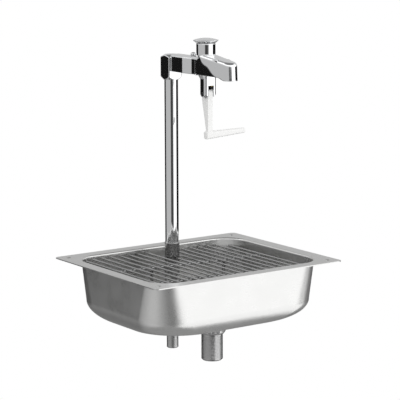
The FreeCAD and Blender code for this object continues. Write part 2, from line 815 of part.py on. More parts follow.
def body_casting():
    """Arm, lower body, tower and spout in one casting, with its water ways."""
    core = cylinder(0, valve_y, body_bottom, spout_root_height + 0.5, body_width / 2.0)
    tower = cylinder(0, valve_y, spout_root_height - 0.6, tower_top, tower_radius)
    body = arm_solid().multiFuse([spout_column().common(spout_side()), core, tower]).removeSplitter()
    seat_top = chamber_floor
    body = body.cut(cylinder(0, valve_y, seat_top - seat_lip, tower_top + 1.0, chamber_radius))
    lip = tube(0, valve_y, seat_top - seat_lip - 0.5, seat_top, seat_bore_radius + 1.0,
               seat_bore_radius)
    body = body.fuse(lip)
    body = body.cut(cylinder(0, valve_y, tower_top - cap_plug_length - 0.5, tower_top + 1.0,
                             cap_plug_radius))
    body = body.cut(cylinder(0, valve_y, inlet_chamber_floor, seat_top + 1.0, seat_bore_radius))
    body = body.cut(cylinder(0, valve_y, inlet_chamber_floor, seat_top - seat_lip - 1.8,
                             inlet_chamber_radius))
    body = body.cut(cylinder(0, valve_y, body_bottom - 1.0, inlet_chamber_floor + 0.5,
                             yoke_neck_radius))
    body = body.cut(bar_along_y(valve_y, elbow_front, inlet_bore_radius))
    body = body.cut(bar_along_y(union_front, elbow_front + 1.0, union_radius))
    body = body.cut(bar_along_y(elbow_front - seal_thickness, elbow_front + 1.0, union_seal_radius))
    way_start = Vector(0, valve_y, chamber_floor + 2.0 + spout_bore_radius)
    way_end = Vector(0, spout_tip_y, outlet_height + outlet_bore_depth - 1.0)
    run = way_end - way_start
    way = Part.makeCylinder(spout_bore_radius, run.Length, way_start, run)
    front_half = box(-chamber_radius, chamber_radius, spout_tip_y - spout_tip_radius, valve_y,
                     outlet_height, tower_top)
    body = body.cut(way.common(front_half))
    body = body.cut(cylinder(0, spout_tip_y, outlet_height - 1.0, outlet_height + outlet_bore_depth,
                             outlet_bore_radius))
    flow_hole = cylinder(0, flow_screw_y, arm_centre_height, arm_top + 1.0, flow_shank_radius)
    return body.cut(flow_hole)


def flow_screw():
    """The slotted screw that sets the flow, its tip standing in the arm's water way."""
    tip = arm_centre_height + flow_tip_height
    seat = arm_top + flow_seal_thickness
    shank = cylinder(0, flow_screw_y, tip, seat, flow_shank_radius)
    head = cylinder(0, flow_screw_y, seat, seat + flow_head_height + flow_head_dome,
                    flow_head_radius)
    crown = (flow_head_radius ** 2 + flow_head_dome ** 2) / (2.0 * flow_head_dome)
    dome = Part.makeSphere(crown, Vector(0, flow_screw_y,
                                         seat + flow_head_height + flow_head_dome - crown))
    slot_floor = seat + flow_head_height + flow_head_dome - flow_slot_depth
    slot = box(-flow_head_radius - 1.0, flow_head_radius + 1.0, flow_screw_y - flow_slot_width / 2.0,
               flow_screw_y + flow_slot_width / 2.0, slot_floor, slot_floor + 5.0)
    return shank.fuse(head.common(dome)).cut(slot)


def outlet_straightener():
    """The insert in the spout's mouth that makes the stream smooth."""
    bottom = outlet_height + straightener_inset
    top = bottom + straightener_height
    insert = cylinder(0, spout_tip_y, bottom, top, outlet_bore_radius)
    holes = [cylinder(0, spout_tip_y, bottom - 1.0, top + 1.0, straightener_hole_radius)]
    for index in range(6):
        angle = math.pi / 3.0 * index
        reach = outlet_bore_radius * 0.55
        holes.append(cylinder(reach * math.cos(angle), spout_tip_y + reach * math.sin(angle),
                              bottom - 1.0, top + 1.0, straightener_hole_radius))
    return insert.cut(Part.makeCompound(holes))


finish("body_casting", body_casting())
finish("flow_screw", flow_screw())
finish("flow_screw_seal", tube(0, flow_screw_y, arm_top, arm_top + flow_seal_thickness,
                               flow_head_radius - 0.2, flow_shank_radius + running_clearance))
finish("outlet_straightener", outlet_straightener())


# Cap, spring and stem

cap_under = tower_top + cap_seal_thickness
cap_plug_bottom = tower_top - cap_plug_length
pocket_top = cap_plug_bottom + spring_pocket_depth
washer_bottom = chamber_floor
washer_top = washer_bottom + seat_washer_thickness
collar_top = washer_top + stem_collar_height
button_bottom = lever_head_top + button_gap
button_top = button_bottom + button_height


def tower_cap():
    """The domed cap with a plug that screws into the tower and holds the spring."""
    rim = cap_under + cap_dish
    inside_edge = cap_radius - cap_edge_rounding
    shell = turned(0, valve_y, [(0, cap_under), (tower_radius, cap_under), (inside_edge, rim),
                                (cap_radius, rim + cap_edge / 2.0),
                                (inside_edge, rim + cap_edge), (0, rim + cap_edge)])
    crown = (inside_edge ** 2 + cap_dome ** 2) / (2.0 * cap_dome)
    ball = Part.makeSphere(crown, Vector(0, valve_y, rim + cap_edge + cap_dome - crown))
    dome = ball.common(cylinder(0, valve_y, rim + cap_edge, rim + cap_edge + cap_dome + 1.0,
                                cap_radius + 1.0))
    plug = cylinder(0, valve_y, cap_plug_bottom, cap_under, cap_plug_radius)
    pocket = cylinder(0, valve_y, cap_plug_bottom - 1.0, pocket_top, spring_pocket_radius)
    return shell.multiFuse([dome, plug]).removeSplitter().cut(pocket)


def return_spring():
    """The coil spring between the stem's collar and the cap."""
    bottom = collar_top + spring_wire_radius
    length = pocket_top - spring_wire_radius - bottom
    pitch = length / spring_turns
    path = Part.makeLongHelix(pitch, length, spring_mean_radius, 0, False)
    path.translate(Vector(0, valve_y, bottom))
    section = Part.Wire(Part.makeCircle(spring_wire_radius,
                                        Vector(spring_mean_radius, valve_y, bottom),
                                        Vector(0, 1, 0)))
    coil = Part.Wire(path.Edges).makePipeShell([section], True, True)
    return coil


def valve_stem():
    """The stem: a collar above the seat, a spigot in the spring, a stud for the button below."""
    stud = cylinder(0, valve_y, button_top - stem_stud_length, button_top, stem_stud_radius)
    rod = cylinder(0, valve_y, button_top, washer_top, stem_radius)
    collar = cylinder(0, valve_y, washer_top, collar_top, stem_collar_radius)
    spigot = cylinder(0, valve_y, collar_top, collar_top + stem_spigot_length, stem_spigot_radius)
    return stud.multiFuse([rod, collar, spigot]).removeSplitter()


def stem_button():
    """The hard button on the stem's foot that rides on the lever's head."""
    button_radius = slot_width / 2.0 - button_clearance
    button = cylinder(0, valve_y, button_bottom, button_top, button_radius)
    lower = [edge for edge in button.Edges
             if isinstance(edge.Curve, Part.Circle) and edge.BoundBox.ZMax < button_bottom + 0.1]
    button = button.makeFillet(button_rounding, lower)
    return button.cut(cylinder(0, valve_y, button_top - stem_stud_length, button_top + 1.0,
                               stem_stud_radius))


finish("tower_cap", tower_cap())
finish("cap_seal", tube(0, valve_y, tower_top, cap_under, tower_radius - 0.4,
                        cap_plug_radius + running_clearance))
finish("return_spring", return_spring())
finish("valve_stem", valve_stem())
finish("seat_washer", tube(0, valve_y, washer_bottom, washer_top, stem_collar_radius - 0.3,
                           stem_radius))
finish("stem_button", stem_button())


# Yoke, its seals, the pivot pin and the push lever

neck_top = body_bottom + yoke_neck_length
seal_floor = neck_top - seal_ring_height - 2.0 * stem_seal_radius - 0.3
seal_pocket_radius = stem_radius + running_clearance + 2.0 * stem_seal_radius


def yoke():
    """The yoke: a neck in the body, a shoulder and two ears with the pin's holes."""
    neck = cylinder(0, valve_y, body_bottom, neck_top, yoke_neck_radius)
    shoulder = Part.makeLoft([
        round_rectangle(yoke_shoulder_width, yoke_shoulder_depth, yoke_shoulder_corner, body_bottom,
                        yoke_shoulder_y),
        round_rectangle(yoke_width, yoke_depth, yoke_edge_radius, yoke_block_top, yoke_y)],
        True, True)
    block = prism(round_rectangle(yoke_width, yoke_depth, yoke_edge_radius, yoke_bottom, yoke_y),
                  yoke_block_top - yoke_bottom)
    half_corner = math.hypot(yoke_width, yoke_depth) / 2.0
    envelope = turned(0, yoke_y, [(0, yoke_bottom), (yoke_tip_radius, yoke_bottom),
                                  (half_corner, yoke_bottom + yoke_turned_bottom),
                                  (half_corner, yoke_block_top), (0, yoke_block_top)])
    guide = cylinder(0, valve_y, slot_top, body_bottom, stem_guide_radius)
    whole = block.common(envelope).multiFuse([shoulder, neck, guide]).removeSplitter()
    slot = box(-slot_width / 2.0, slot_width / 2.0, yoke_y - yoke_depth, yoke_y + yoke_depth,
               yoke_bottom - 1.0, slot_top)
    whole = whole.cut(slot)
    whole = whole.cut(cylinder(0, valve_y, slot_top - 1.0, neck_top + 1.0,
                               stem_radius + running_clearance))
    whole = whole.cut(cylinder(0, valve_y, seal_floor, neck_top + 1.0, seal_pocket_radius))
    bore = Part.makeCylinder(pin_radius, 2.0 * yoke_width,
                             Vector(-yoke_width, yoke_y, pivot_height), Vector(1, 0, 0))
    return whole.cut(bore)


def pivot_pin():
    """The headed pin through both ears, peened at its far end."""
    half = yoke_width / 2.0
    shank = Part.makeCylinder(pin_radius, yoke_width, Vector(-half, yoke_y, pivot_height),
                              Vector(1, 0, 0))
    head = Part.makeCylinder(pin_head_radius, pin_head_height,
                             Vector(-half - pin_head_height, yoke_y, pivot_height), Vector(1, 0, 0))
    rims = [edge for edge in head.Edges if edge.BoundBox.XMax < -half - pin_head_height + 0.1]
    head = head.makeFillet(pin_head_height * 0.6, rims)
    tail = Part.makeCone(pin_head_radius * 0.85, pin_radius, pin_head_height,
                         Vector(half, yoke_y, pivot_height), Vector(1, 0, 0))
    return shank.multiFuse([head, tail])


def push_lever():
    """The moulded lever: a cam head in the yoke, a tapering stem and a sideways push bar."""
    head_back = yoke_y + lever_head_back
    head_front = yoke_y - lever_head_front
    waist_back = lever_waist_front + lever_waist_depth
    foot = lever_bottom + push_bar_root_height / 2.0
    back_end = lever_head_top - lever_head_back_drop
    front_end = lever_head_top - lever_head_front_drop
    outline = [Vector(0, head_back, lever_head_top), Vector(0, head_back, back_end),
               Vector(0, waist_back, lever_waist_height), Vector(0, waist_back, foot),
               Vector(0, lever_waist_front, foot), Vector(0, lever_waist_front, front_end),
               Vector(0, head_front, pivot_height), Vector(0, head_front, lever_head_top)]
    face = Part.Face(Part.makePolygon(outline + outline[:1]))
    face.translate(Vector(-lever_width / 2.0, 0, 0))
    blade = face.extrude(Vector(lever_width, 0, 0))
    front_top = [edge for edge in blade.Edges
                 if edge.BoundBox.ZMin > lever_head_top - 0.1 and edge.BoundBox.YMax < head_front + 0.1]
    blade = blade.makeFillet(lever_head_rounding, front_top)
    root = bar_section(push_bar_root_x, push_bar_root_height, push_bar_root_depth, foot)
    tip = bar_section(push_bar_tip_x, push_bar_tip_height, push_bar_tip_depth,
                      lever_bottom + push_bar_rise)
    bar = Part.makeLoft([root, tip], True, True)
    ends = [edge for edge in bar.Edges if edge.BoundBox.XMax - edge.BoundBox.XMin < 0.1]
    bar = bar.makeFillet(push_bar_end_rounding, ends)
    lever = blade.fuse(bar).removeSplitter()
    hole = Part.makeCylinder(pin_radius + running_clearance, 4.0 * lever_width,
                             Vector(-2.0 * lever_width, yoke_y, pivot_height), Vector(1, 0, 0))
    return lever.cut(hole)


def bar_section(x, height, depth, middle):
    """A round-cornered section of the push bar in the plane at x."""
    wire = round_rectangle(height, depth, push_bar_rounding, 0.0)
    wire.rotate(Vector(0, 0, 0), Vector(0, 1, 0), 90)
    wire.translate(Vector(x, push_bar_y, middle))
    return wire


finish("yoke", yoke())
finish("stem_seal", Part.makeTorus(stem_radius + running_clearance + stem_seal_radius,
                                   stem_seal_radius,
                                   Vector(0, valve_y, seal_floor + stem_seal_radius)))
finish("seal_ring", tube(0, valve_y, neck_top - seal_ring_height, neck_top, seal_pocket_radius,
                         stem_radius + running_clearance))
finish("pivot_pin", pivot_pin())
finish("push_lever", push_lever())
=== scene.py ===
"""A glass filler on a sunk drip pan, dressed for the picture.

Metres, Z up, the user's side is -Y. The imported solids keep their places, and this script gives
them their finishes, adds the fine work that the solids leave out, and sets up a plain studio.
"""

import logging
import math
from dataclasses import dataclass, field
from enum import Enum

import bmesh
import bpy
from mathutils import Matrix, Vector


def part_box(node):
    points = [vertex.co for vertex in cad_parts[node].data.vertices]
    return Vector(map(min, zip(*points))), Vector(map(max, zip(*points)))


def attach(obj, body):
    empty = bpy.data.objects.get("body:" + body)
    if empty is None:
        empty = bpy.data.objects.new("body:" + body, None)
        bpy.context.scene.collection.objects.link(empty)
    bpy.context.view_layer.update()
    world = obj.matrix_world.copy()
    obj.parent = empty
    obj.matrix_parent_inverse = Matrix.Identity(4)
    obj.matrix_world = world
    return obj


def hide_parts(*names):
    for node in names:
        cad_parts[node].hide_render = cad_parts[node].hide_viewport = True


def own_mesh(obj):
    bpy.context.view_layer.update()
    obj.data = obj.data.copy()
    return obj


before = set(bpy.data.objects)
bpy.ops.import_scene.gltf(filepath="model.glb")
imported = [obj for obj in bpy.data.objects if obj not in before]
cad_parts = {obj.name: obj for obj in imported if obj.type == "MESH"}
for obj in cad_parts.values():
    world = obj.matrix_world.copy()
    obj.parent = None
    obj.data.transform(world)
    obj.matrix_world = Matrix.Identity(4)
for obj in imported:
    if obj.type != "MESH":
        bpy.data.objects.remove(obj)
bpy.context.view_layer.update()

log = logging.getLogger("glass_filler")

MM = 0.001
WHITE = "ffffff"
# Edges that turn by more than this stay sharp on the smooth pieces.
SHARP_DEGREES = 40.0
# A drawn grain is drawn out along one axis: its pattern has this scale there.
GRAIN_STRETCH = 0.04
# Most values of a noise pattern lie between these two.
NOISE_LOW = 0.3
NOISE_HIGH = 0.7


def linear(hex_colour: str) -> tuple[float, float, float, float]:
    """Turns an sRGB hex colour into a linear RGBA colour.

    Args:
        hex_colour: Six hex digits, such as "d8d9da".

    Returns:
        The linear red, green, blue and an alpha of 1.
    """
    channels = []
    for start in (0, 2, 4):
        value = int(hex_colour[start:start + 2], 16) / 255.0
        channels.append(value / 12.92 if value <= 0.04045 else ((value + 0.055) / 1.055) ** 2.4)
    return (channels[0], channels[1], channels[2], 1.0)


def empty_tree(owner: bpy.types.Material | bpy.types.World) -> bpy.types.NodeTree:
    """Turns on the nodes of a material or a world, and clears them.

    Args:
        owner: The material or world.

    Returns:
        Its empty node tree.
    """
    owner.use_nodes = True
    owner.node_tree.nodes.clear()
    return owner.node_tree


def add_node(tree: bpy.types.NodeTree, kind: str, settings: dict | None = None,
             inputs: dict | None = None) -> bpy.types.Node:
    """Adds a node to a tree with its settings, values and links.

    Args:
        tree: The node tree.
        kind: The node's Blender type name.
        settings: Attribute names and their values.
        inputs: Input names or numbers, each with a value or an output socket to link.

    Returns:
        The new node.
    """
    node = tree.nodes.new(kind)
    for name, value in (settings or {}).items():
        setattr(node, name, value)
    for name, value in (inputs or {}).items():
        if isinstance(value, bpy.types.NodeSocket):
            tree.links.new(value, node.inputs[name])
        else:
            node.inputs[name].default_value = value
    return node


def smooth_object(name: str, mesh: bpy.types.Mesh,
                  sharp_degrees: float | None = None) -> bpy.types.Object:
    """Puts a mesh in the scene as a smooth object.

    Args:
        name: The object's name.
        mesh: The mesh.
        sharp_degrees: The angle above which its edges stay sharp, or None where it has no edges.

    Returns:
        The object.
    """
    mesh.polygons.foreach_set("use_smooth", [True] * len(mesh.polygons))
    if sharp_degrees is not None:
        mesh.set_sharp_from_angle(angle=math.radians(sharp_degrees))
    piece = bpy.data.objects.new(name, mesh)
    bpy.context.scene.collection.objects.link(piece)
    return piece


class Direction(Enum):
    """The way a drawn grain runs over a surface."""

    ALONG_X = (GRAIN_STRETCH, 1.0, 1.0)
    ALONG_Y = (1.0, GRAIN_STRETCH, 1.0)
    ALONG_Z = (1.0, 1.0, GRAIN_STRETCH)


@dataclass(frozen=True)
class Finish:
    """A surface: its real material, how it was made, and what that gives the eye."""

    name: str
    colour: str
    roughness: float
    metallic: float = 0.0

    def start(self) -> tuple[bpy.types.Material, bpy.types.NodeTree, bpy.types.Node]:
        """Makes the material with its shader.

        Returns:
            The material, its node tree and its Principled shader.
        """
        material = bpy.data.materials.new(self.name)
        tree = empty_tree(material)
        shader = add_node(tree, "ShaderNodeBsdfPrincipled", inputs={
            "Base Color": linear(self.colour), "Metallic": self.metallic,
            "Roughness": self.roughness})
        add_node(tree, "ShaderNodeOutputMaterial", inputs={"Surface": shader.outputs["BSDF"]})
        return material, tree, shader

    def build(self) -> bpy.types.Material:
        """Makes the finished material, even all over."""
        return self.start()[0]


@dataclass(frozen=True)
class DrawnMetal(Finish):
    """Metal with fine lines that run one way, from a roll, a die or a lathe, and some clouding."""

    grain: Direction = Direction.ALONG_X
    grain_pitch_mm: float = 0.8
    grain_layers: float = 3.0
    grain_sharpness: float = 0.6
    grain_height_mm: float = 0.01
    cloud_mm: float = 30.0
    cloud_layers: float = 2.0
    roughness_spread: float = 0.06

    def build(self) -> bpy.types.Material:
        """Makes the material.

        Returns:
            The metal, with its grain in roughness and relief.
        """
        material, tree, shader = self.start()
        place = add_node(tree, "ShaderNodeTexCoord")
        mapping = add_node(tree, "ShaderNodeMapping", {"vector_type": "POINT"},
                           {"Vector": place.outputs["Object"], "Scale": self.grain.value})
        grain = add_node(tree, "ShaderNodeTexNoise", inputs={
            "Vector": mapping.outputs["Vector"], "Scale": 1.0 / (self.grain_pitch_mm * MM),
            "Detail": self.grain_layers, "Roughness": self.grain_sharpness})
        cloud = add_node(tree, "ShaderNodeTexNoise", inputs={
            "Vector": place.outputs["Object"], "Scale": 1.0 / (self.cloud_mm * MM),
            "Detail": self.cloud_layers})
        both = add_node(tree, "ShaderNodeMath", {"operation": "ADD"},
                        {0: grain.outputs["Fac"], 1: cloud.outputs["Fac"]})
        spread = add_node(tree, "ShaderNodeMapRange", inputs={
            "Value": both.outputs["Value"],
            "From Min": 2.0 * NOISE_LOW, "From Max": 2.0 * NOISE_HIGH,
            "To Min": self.roughness - self.roughness_spread,
            "To Max": self.roughness + self.roughness_spread})
        tree.links.new(spread.outputs["Result"], shader.inputs["Roughness"])
        relief = add_node(tree, "ShaderNodeBump", inputs={
            "Height": grain.outputs["Fac"], "Distance": self.grain_height_mm * MM})
        tree.links.new(relief.outputs["Normal"], shader.inputs["Normal"])
        return material


@dataclass(frozen=True)
class BrightPlating(Finish):
    """Chrome plated on polished metal: a mirror, with the waves and soft edges of buffing."""

    wave_mm: float = 14.0
    wave_layers: float = 1.0
    wave_height_mm: float = 0.02
    haze: float = 0.02
    buffed_edge_mm: float = 1.5
    edge_samples: int = 8

    def build(self) -> bpy.types.Material:
        """Makes the material.

        Returns:
            The bright plating with its buffing waves, soft edges and slight haze.
        """
        material, tree, shader = self.start()
        place = add_node(tree, "ShaderNodeTexCoord")
        wave = add_node(tree, "ShaderNodeTexNoise", inputs={
            "Vector": place.outputs["Object"], "Scale": 1.0 / (self.wave_mm * MM),
            "Detail": self.wave_layers})
        spread = add_node(tree, "ShaderNodeMapRange", inputs={
            "Value": wave.outputs["Fac"], "From Min": NOISE_LOW, "From Max": NOISE_HIGH,
            "To Min": self.roughness, "To Max": self.roughness + self.haze})
        tree.links.new(spread.outputs["Result"], shader.inputs["Roughness"])
        buffed = add_node(tree, "ShaderNodeBevel", {"samples": self.edge_samples}, {
            "Radius": self.buffed_edge_mm * MM})
        relief = add_node(tree, "ShaderNodeBump", inputs={
            "Height": wave.outputs["Fac"], "Distance": self.wave_height_mm * MM,
            "Normal": buffed.outputs["Normal"]})
        tree.links.new(relief.outputs["Normal"], shader.inputs["Normal"])
        return material


@dataclass(frozen=True)
class MouldedSurface(Finish):
    """Moulded rubber or plastic: an even body with the very fine texture of its mould."""

    speckle_mm: float = 0.8
    speckle_layers: float = 2.0
    speckle_height_mm: float = 0.01
    roughness_spread: float = 0.05

    def build(self) -> bpy.types.Material:
        """Makes the material.

        Returns:
            The moulded surface with its fine texture.
        """
        material, tree, shader = self.start()
        place = add_node(tree, "ShaderNodeTexCoord")
        speckle = add_node(tree, "ShaderNodeTexNoise", inputs={
            "Vector": place.outputs["Object"], "Scale": 1.0 / (self.speckle_mm * MM),
            "Detail": self.speckle_layers})
        spread = add_node(tree, "ShaderNodeMapRange", inputs={
            "Value": speckle.outputs["Fac"], "From Min": NOISE_LOW, "From Max": NOISE_HIGH,
            "To Min": self.roughness - self.roughness_spread,
            "To Max": self.roughness + self.roughness_spread})
        tree.links.new(spread.outputs["Result"], shader.inputs["Roughness"])
        relief = add_node(tree, "ShaderNodeBump", inputs={
            "Height": speckle.outputs["Fac"], "Distance": self.speckle_height_mm * MM})
        tree.links.new(relief.outputs["Normal"], shader.inputs["Normal"])
        return material


# Pressed 304 sheet with a rolled satin face: it smears what it mirrors into soft grey bands, and
# its grain of 0.8 mm, coarser than the real one so that it shows, runs across the pan.
SATIN_SHEET = DrawnMetal("satin_stainless_sheet", "d6d6d5", 0.3, 1.0)
# Drawn 304 wire, electropolished after welding: nearly bright, with fine draw lines along it.
BRIGHT_WIRE = DrawnMetal("electropolished_stainless_wire", "a2a2a2", 0.17, 1.0,
                         grain=Direction.ALONG_Y, grain_pitch_mm=0.6, roughness_spread=0.04)
# Brass, buffed and chrome plated: a clean dark and light mirror with faint waves.
PLATING = BrightPlating("chrome_plated_brass", "f0f1f2", 0.03, 1.0, wave_height_mm=0.012)
# The same plating over a cut thread, where it stays dull in the roots.
THREAD_PLATING = BrightPlating("chrome_plated_thread", "acacac", 0.08, 1.0, haze=0.05)
# Zinc die casting under a thin plating: grey, with the casting's skin showing through.
NUT_PLATING = BrightPlating("chrome_plated_die_casting", "c0c0c0", 0.22, 1.0, haze=0.1)
# Free-cutting brass straight off the lathe: warm, with fine tool lines.
TURNED_BRASS = DrawnMetal("turned_brass", "d9bd7c", 0.25, 1.0)
# Hard drawn spring steel: a cool grey with lines along the wire.
DRAWN_WIRE = DrawnMetal("drawn_spring_steel", "b9bbbd", 0.25, 1.0)
# Hardened and oil-blacked steel: nearly black, with a slight sheen. On the stem button its
# near-black is also painted shade, which darkens the slot that the button shows through.
BLACKED_STEEL_AND_SLOT_SHADE = DrawnMetal("oil_blacked_steel_and_painted_slot_shade", "3a3a3b", 0.35, 1.0, grain=Direction.ALONG_Z)
# Moulded nitrile: flat black.
BLACK_RUBBER = MouldedSurface("moulded_nitrile_rubber", "1c1c1d", 0.6)
# Moulded filled rubber: flat dark grey.
GREY_RUBBER = MouldedSurface("moulded_grey_rubber", "4a4b4c", 0.65)
# Injection moulded acetal: an even white with a soft gloss.
WHITE_ACETAL = MouldedSurface("moulded_white_acetal", "f1f1f0", 0.28, speckle_mm=1.5,
                              speckle_height_mm=0.002)

NODE_FINISHES: dict[str, Finish] = {
    "drip_pan": SATIN_SHEET,
    "rack_rods": BRIGHT_WIRE,
    "rack_cross_rods": BRIGHT_WIRE,
    "rack_legs": BRIGHT_WIRE,
    "rack_feet": GREY_RUBBER,
    "waste_body": THREAD_PLATING,
    "waste_strainer": SATIN_SHEET,
    "strainer_screw": BRIGHT_WIRE,
    "waste_gasket": BLACK_RUBBER,
    "waste_under_gasket": BLACK_RUBBER,
    "waste_washer": SATIN_SHEET,
    "waste_locknut": NUT_PLATING,
    "post_foot": PLATING,
    "foot_gasket": BLACK_RUBBER,
    "foot_under_gasket": BLACK_RUBBER,
    "foot_washer": SATIN_SHEET,
    "foot_locknut": NUT_PLATING,
    "supply_post": PLATING,
    "post_seal": BLACK_RUBBER,
    "elbow_block": PLATING,
    "union_nipple": TURNED_BRASS,
    "union_seal": BLACK_RUBBER,
    "body_casting": PLATING,
    "flow_screw": PLATING,
    "flow_screw_seal": BLACK_RUBBER,
    "outlet_straightener": WHITE_ACETAL,
    "tower_cap": PLATING,
    "cap_seal": BLACK_RUBBER,
    "return_spring": DRAWN_WIRE,
    "valve_stem": TURNED_BRASS,
    "seat_washer": BLACK_RUBBER,
    # The button's near-black is painted shade for the slot it shows through, as well as the steel's
    # own colour.
    "stem_button": BLACKED_STEEL_AND_SLOT_SHADE,
    "yoke": PLATING,
    "stem_seal": BLACK_RUBBER,
    "seal_ring": TURNED_BRASS,
    "pivot_pin": BLACKED_STEEL_AND_SLOT_SHADE,
    "push_lever": WHITE_ACETAL,
}


@dataclass(frozen=True)
class Bridge:
    """The bar across a waste's bore that takes the strainer's screw."""

    half_length_mm: float
    half_width_mm: float
    bottom_mm: float
    top_mm: float


@dataclass(frozen=True)
class ThreadedTurning:
    """A turned tube with a thread cut in part of its outer wall.

    The profile is a closed loop of radius and height in millimetres. The thread runs between two
    of its heights. Its pitch is six flanks wide: two for the root, two for the crest and one for
    each slope between them.
    """

    piece: str
    node: str
    y_mm: float
    profile: tuple[tuple[float, float], ...]
    thread_bottom_mm: float
    thread_top_mm: float
    pitch_mm: float
    depth_mm: float
    finish: Finish
    slot: str
    bridge: Bridge | None = None
    columns: int = 72
    rows_in_pitch: int = 8
    flanks_in_pitch: float = 6.0

    def rings(self) -> list[tuple[float, float]]:
        """Divides the threaded wall into fine rings.

        Returns:
            The loop's radii and heights, in order.
        """
        rings = []
        after = self.profile[1:] + self.profile[:1]
        for (radius, height), (_, following) in zip(self.profile, after):
            rings.append((radius, height))
            if height == self.thread_bottom_mm and following == self.thread_top_mm:
                steps = round((following - height) / self.pitch_mm * self.rows_in_pitch)
                rings += [(radius, height + (following - height) * step / steps)
                          for step in range(1, steps)]
        return rings

    def groove(self, height: float, turn: float) -> float:
        """Gives how deep the thread is cut at a height and a share of a turn.

        Args:
            height: The height in millimetres.
            turn: The share of a full turn, 0 to 1.

        Returns:
            The depth in millimetres, which fades out at the thread's ends.
        """
        inside = min(height - self.thread_bottom_mm, self.thread_top_mm - height) / self.pitch_mm
        if inside <= 0.0:
            return 0.0
        phase = (height / self.pitch_mm - turn) % 1.0
        rise = min(max(abs(phase - 0.5) * self.flanks_in_pitch - 1.0, 0.0), 1.0)
        return self.depth_mm * (1.0 - rise) * min(inside, 1.0)

    def add_bridge(self, bar: Bridge, points: list, faces: list) -> None:
        """Adds the bar across the bore.

        Args:
            bar: The bar's sizes.
            points: The mesh's points, which grow by the bar's corners.
            faces: The mesh's faces, which grow by the bar's sides.
        """
        along, across = bar.half_length_mm, bar.half_width_mm
        first = len(points)
        points += [(x * MM, (self.y_mm + y) * MM, z * MM) for z in (bar.bottom_mm, bar.top_mm)
                   for x, y in ((-along, -across), (along, -across), (along, across),
                                (-along, across))]
        faces += [tuple(first + corner for corner in side)
                  for side in ((3, 2, 1, 0), (4, 5, 6, 7), (0, 1, 5, 4), (1, 2, 6, 5),
                               (2, 3, 7, 6), (3, 0, 4, 7))]

    def build(self) -> bpy.types.Object:
        """Makes the tube's mesh.

        Returns:
            The tube as an object.
        """
        rings = self.rings()
        points = []
        faces = []
        for column in range(self.columns):
            turn = column / self.columns
            angle = 2.0 * math.pi * turn
            near = column * len(rings)
            far = (column + 1) % self.columns * len(rings)
            for row, (radius, height) in enumerate(rings):
                reach = radius - self.groove(height, turn)
                points.append((reach * math.cos(angle) * MM,
                               (self.y_mm + reach * math.sin(angle)) * MM, height * MM))
                above = (row + 1) % len(rings)
                faces.append((near + row, far + row, far + above, near + above))
        if self.bridge:
            self.add_bridge(self.bridge, points, faces)
        mesh = bpy.data.meshes.new(self.piece)
        mesh.from_pydata(points, [], faces)
        return smooth_object(self.piece, mesh, SHARP_DEGREES)


WASTE_TURNING = ThreadedTurning(
    piece="threaded_waste_body", node="waste_body", y_mm=-30.4,
    profile=((11.2, -122.5), (11.85, -122.5), (13.45, -120.9), (13.45, -89.5), (13.7, -89.25),
             (13.7, -70.8), (23.0, -70.8), (23.0, -70.0), (21.4, -68.8), (13.9, -68.8),
             (13.9, -70.4), (11.2, -70.4)),
    thread_bottom_mm=-120.9, thread_top_mm=-89.5, pitch_mm=1.8, depth_mm=0.45,
    finish=THREAD_PLATING, slot="nickel_plated_tail",
    bridge=Bridge(half_length_mm=12.3, half_width_mm=2.0, bottom_mm=-78.4, top_mm=-70.4))
FOOT_TURNING = ThreadedTurning(
    piece="threaded_post_foot", node="post_foot", y_mm=56.5,
    profile=((4.8, -125.3), (6.55, -125.3), (7.55, -124.3), (7.55, -85.6), (7.8, -85.35),
             (7.8, -70.8), (17.0, -70.8), (17.0, -67.8), (16.0, -66.8), (9.45, -66.8),
             (9.45, 12.55), (9.0, 13.0), (8.55, 13.0), (8.55, -47.0), (4.8, -47.0)),
    thread_bottom_mm=-124.3, thread_top_mm=-85.6, pitch_mm=1.5, depth_mm=0.4,
    finish=THREAD_PLATING, slot="polished_chrome")


@dataclass(frozen=True)
class CoilSpring:
    """The return spring, wound between the stem's collar and the cap, which shortens in use."""

    piece: str = "wound_return_spring"
    mean_radius_mm: float = 4.9
    wire_radius_mm: float = 0.55
    turns: int = 6
    steps_in_turn: int = 32
    sides: int = 10
    travel_mm: float = 1.63

    def ring(self, place: float, low: Vector, high: Vector) -> list[Vector]:
        """Finds the points of the wire's outline at a place along the coil.

        Args:
            place: The share of the coil's length, 0 to 1.
            low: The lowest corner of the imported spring.
            high: Its highest corner.

        Returns:
            The outline's points, in metres.
        """
        wire = self.wire_radius_mm * MM
        angle = 2.0 * math.pi * self.turns * place
        outward = Vector((math.cos(angle), math.sin(angle), 0.0))
        centre = Vector(((low.x + high.x) / 2.0, (low.y + high.y) / 2.0,
                         low.z + wire + (high.z - low.z - 2.0 * wire) * place))
        centre += outward * (self.mean_radius_mm * MM)
        return [centre + wire * (math.cos(turn) * outward + math.sin(turn) * Vector((0, 0, 1)))
                for turn in (2.0 * math.pi * side / self.sides for side in range(self.sides))]

    def build(self) -> bpy.types.Object:
        """Winds the spring.

        Returns:
            The spring.
        """
        low, high = (Vector(corner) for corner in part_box("return_spring"))
        steps = self.turns * self.steps_in_turn
        form = bmesh.new()
        rings = [[form.verts.new(point) for point in self.ring(step / steps, low, high)]
                 for step in range(steps + 1)]
        for ring, following in zip(rings, rings[1:]):
            for side in range(self.sides):
                beside = (side + 1) % self.sides
                form.faces.new((ring[side], following[side], following[beside], ring[beside]))
        form.faces.new(rings[0])
        form.faces.new(reversed(rings[-1]))
        bmesh.ops.recalc_face_normals(form, faces=form.faces)
        mesh = bpy.data.meshes.new(self.piece)
        form.to_mesh(mesh)
        form.free()
        spring = smooth_object(self.piece, mesh, SHARP_DEGREES)
        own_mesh(spring)
        return spring


